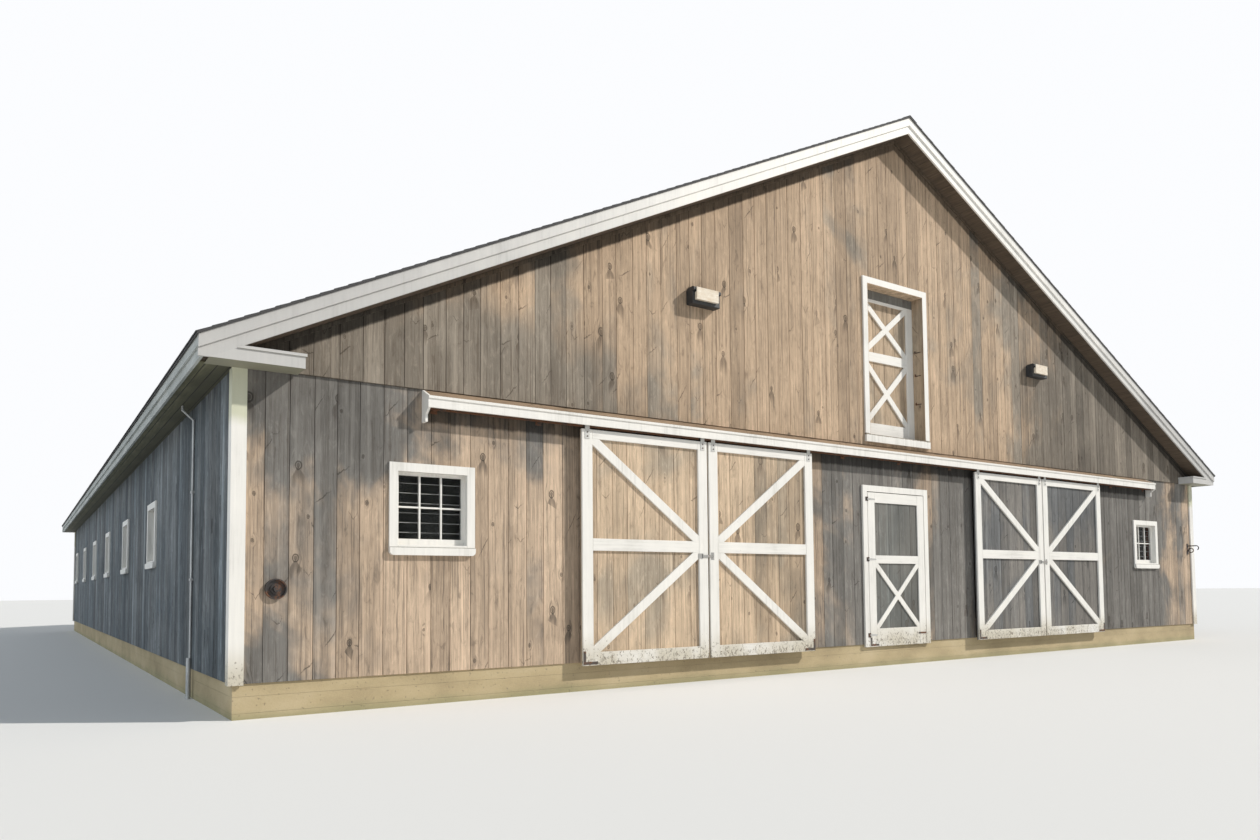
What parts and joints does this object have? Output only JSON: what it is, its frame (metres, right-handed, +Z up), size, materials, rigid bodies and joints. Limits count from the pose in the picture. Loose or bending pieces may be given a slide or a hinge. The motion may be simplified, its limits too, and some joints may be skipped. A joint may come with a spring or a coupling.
{
  "type": "barn",
  "caption": "Long gabled barn of weathered boards with white trim, sliding double doors under a hood, a small braced door and a loft door.",
  "frame": {"origin": "middle of the plan, at the underside of the foundation", "axes": "+Z up, the door gable faces -Y, the ridge runs along Y"},
  "size_m": [19.01, 26.292, 8.1185],
  "materials": {
    "boards": "weathered, unpainted",
    "timber": "sawn",
    "white_trim": "painted",
    "shingles": "mineral surface",
    "concrete": "cast",
    "glass": "clear",
    "iron": "rusted",
    "lamp_metal": "painted",
    "conduit_metal": "galvanised"
  },
  "bodies": {
    "barn": {"foundation": "concrete", "floor_slab": "concrete", "front_wall_left": "boards", "front_wall_mid_left": "boards", "front_wall_mid_right": "boards", "front_wall_right": "boards", "front_wall_over_doors": "boards", "front_wall_over_person_door": "boards", "front_gable": "boards", "back_wall": "boards", "back_gable": "boards", "left_wall": "boards", "right_wall": "boards", "loft_floor": "timber", "roof_left": "shingles", "roof_right": "shingles", "rake_boards_front": "white_trim", "rake_boards_back": "white_trim", "left_eave": "white_trim", "right_eave": "white_trim", "cornice_returns": "white_trim", "corner_boards": "white_trim", "window_frames": "white_trim", "front_glass": "glass", "back_glass": "glass", "left_glass": "glass", "right_glass": "glass", "door_hood": "boards", "hood_trim": "white_trim", "door_track": "iron", "door_casings": "white_trim", "loft_door": "boards", "wall_lights": "lamp_metal", "iron_fittings": "iron", "conduit": "conduit_metal"},
    "door_1_left": {"door_1_left_boards": "boards", "door_1_left_frame": "white_trim"},
    "door_1_right": {"door_1_right_boards": "boards", "door_1_right_frame": "white_trim"},
    "door_2_left": {"door_2_left_boards": "boards", "door_2_left_frame": "white_trim"},
    "door_2_right": {"door_2_right_boards": "boards", "door_2_right_frame": "white_trim"},
    "person_door": {"person_door_boards": "boards", "person_door_frame": "white_trim"}
  },
  "joints": [
    {"name": "door_1_left_slide", "type": "slide", "parent": "barn", "child": "door_1_left", "axis": [-1, 0, 0], "range_m": [0, 1.74]},
    {"name": "door_1_right_slide", "type": "slide", "parent": "barn", "child": "door_1_right", "axis": [-1, 0, 0], "range_m": [-1.74, 0]},
    {"name": "door_2_left_slide", "type": "slide", "parent": "barn", "child": "door_2_left", "axis": [1, 0, 0], "range_m": [-1.74, 0]},
    {"name": "door_2_right_slide", "type": "slide", "parent": "barn", "child": "door_2_right", "axis": [1, 0, 0], "range_m": [0, 1.8]},
    {"name": "person_door_swing", "type": "hinge", "parent": "barn", "child": "person_door", "pos_m": [-0.7735, -12.84, 1.53], "axis": [0, 0, -1], "range_deg": [0, 160]}
  ]
}
